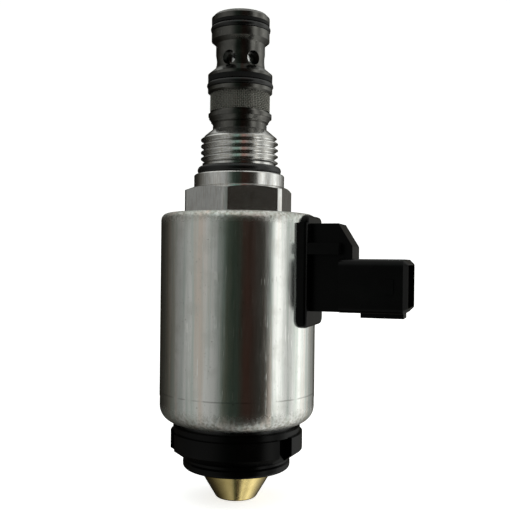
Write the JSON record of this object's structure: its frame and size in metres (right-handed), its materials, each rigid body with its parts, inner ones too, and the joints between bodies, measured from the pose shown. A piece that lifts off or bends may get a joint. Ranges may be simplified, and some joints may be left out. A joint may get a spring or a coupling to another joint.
{
  "type": "solenoid cartridge valve",
  "caption": "Screw-in solenoid spool cartridge valve with sealed ported nose, threaded hex adapter, swivelling coil with side connector, coil nut and push override.",
  "frame": {"origin": "on the valve's axis at the seat plane, the collar's upper face that meets the manifold", "axes": "+Z along the axis towards the nose; +X towards the coil's connector at rest"},
  "size_m": [0.0714, 0.0444, 0.1381],
  "materials": {
    "hardened_steel": "black oxide, satin",
    "zinc_steel": "zinc plated, turned",
    "zinc_can": "zinc plated, drawn, fine scratches",
    "ground_steel": "ground",
    "spring_steel": "satin",
    "soft_iron": "machined",
    "stainless": "drawn tube",
    "bronze": "satin",
    "brass": "turned, satin",
    "rubber": "moulded nitrile",
    "backup": "PTFE, dark",
    "mesh": "woven wire cloth",
    "black_nylon": "glass-filled nylon, slight sheen",
    "bobbin_nylon": "moulded",
    "copper": "enamelled copper wire",
    "potting": "epoxy",
    "tinned": "tin plated"
  },
  "bodies": {
    "cartridge": {"valve_cage": "hardened_steel", "nose_o_ring": "rubber", "nose_backup_ring": "backup", "middle_o_ring": "rubber", "middle_backup_ring": "backup", "filter_screen": "mesh", "screen_retaining_ring": "hardened_steel", "adapter_body": "zinc_steel", "boss_o_ring": "rubber", "nose_circlip": "spring_steel", "spring_seat": "ground_steel", "return_spring": "spring_steel", "pole_piece": "soft_iron", "tube_upper": "stainless", "tube_flux_ring": "bronze", "tube_lower": "stainless", "tube_seal_ring": "rubber", "tube_end_plug": "stainless", "override_seal": "rubber"},
    "spool": {"spool": "ground_steel"},
    "armature": {"armature": "soft_iron", "armature_bushes": "bronze", "push_pin": "stainless"},
    "coil": {"coil_can": "zinc_can", "top_flux_plate": "zinc_steel", "bottom_flux_plate": "zinc_steel", "bobbin": "bobbin_nylon", "winding": "copper", "coil_potting": "potting", "connector_housing": "black_nylon", "terminal_blades": "tinned", "coil_bottom_seal": "rubber", "coil_top_seal": "rubber"},
    "nut_carriage": {"nut_washer": "rubber"},
    "nut": {"coil_nut": "black_nylon", "button_retainer": "spring_steel"},
    "button": {"override_button": "brass", "override_pin": "stainless"}
  },
  "joints": [
    {"name": "coil_swivel", "type": "hinge", "parent": "cartridge", "child": "coil", "pos_m": [0, 0, -0.04], "axis": [0, 0, 1], "continuous": true},
    {"name": "spool_shift", "type": "slide", "parent": "cartridge", "child": "spool", "axis": [0, 0, 1], "range_m": [0, 0.0025], "deforming": ["return_spring"]},
    {"name": "armature_stroke", "type": "slide", "parent": "cartridge", "child": "armature", "axis": [0, 0, 1], "range_m": [0, 0.0025]},
    {"name": "nut_travel", "type": "slide", "parent": "cartridge", "child": "nut_carriage", "axis": [0, 0, -1], "range_m": [0, 0.004]},
    {"name": "nut_spin", "type": "hinge", "parent": "nut_carriage", "child": "nut", "pos_m": [0, 0, -0.075], "axis": [0, 0, -1], "range_deg": [0, 1440]},
    {"name": "override_push", "type": "slide", "parent": "nut_carriage", "child": "button", "axis": [0, 0, 1], "range_m": [0, 0.0025], "stiffness_N_per_m": 2000, "springref_m": -0.004}
  ],
  "couplings": [
    {"joint": "armature_stroke", "follows": "override_push", "ratio": 1},
    {"joint": "spool_shift", "follows": "override_push", "ratio": 1},
    {"joint": "nut_travel", "follows": "nut_spin", "m_per_rad": 0.00015915}
  ]
}
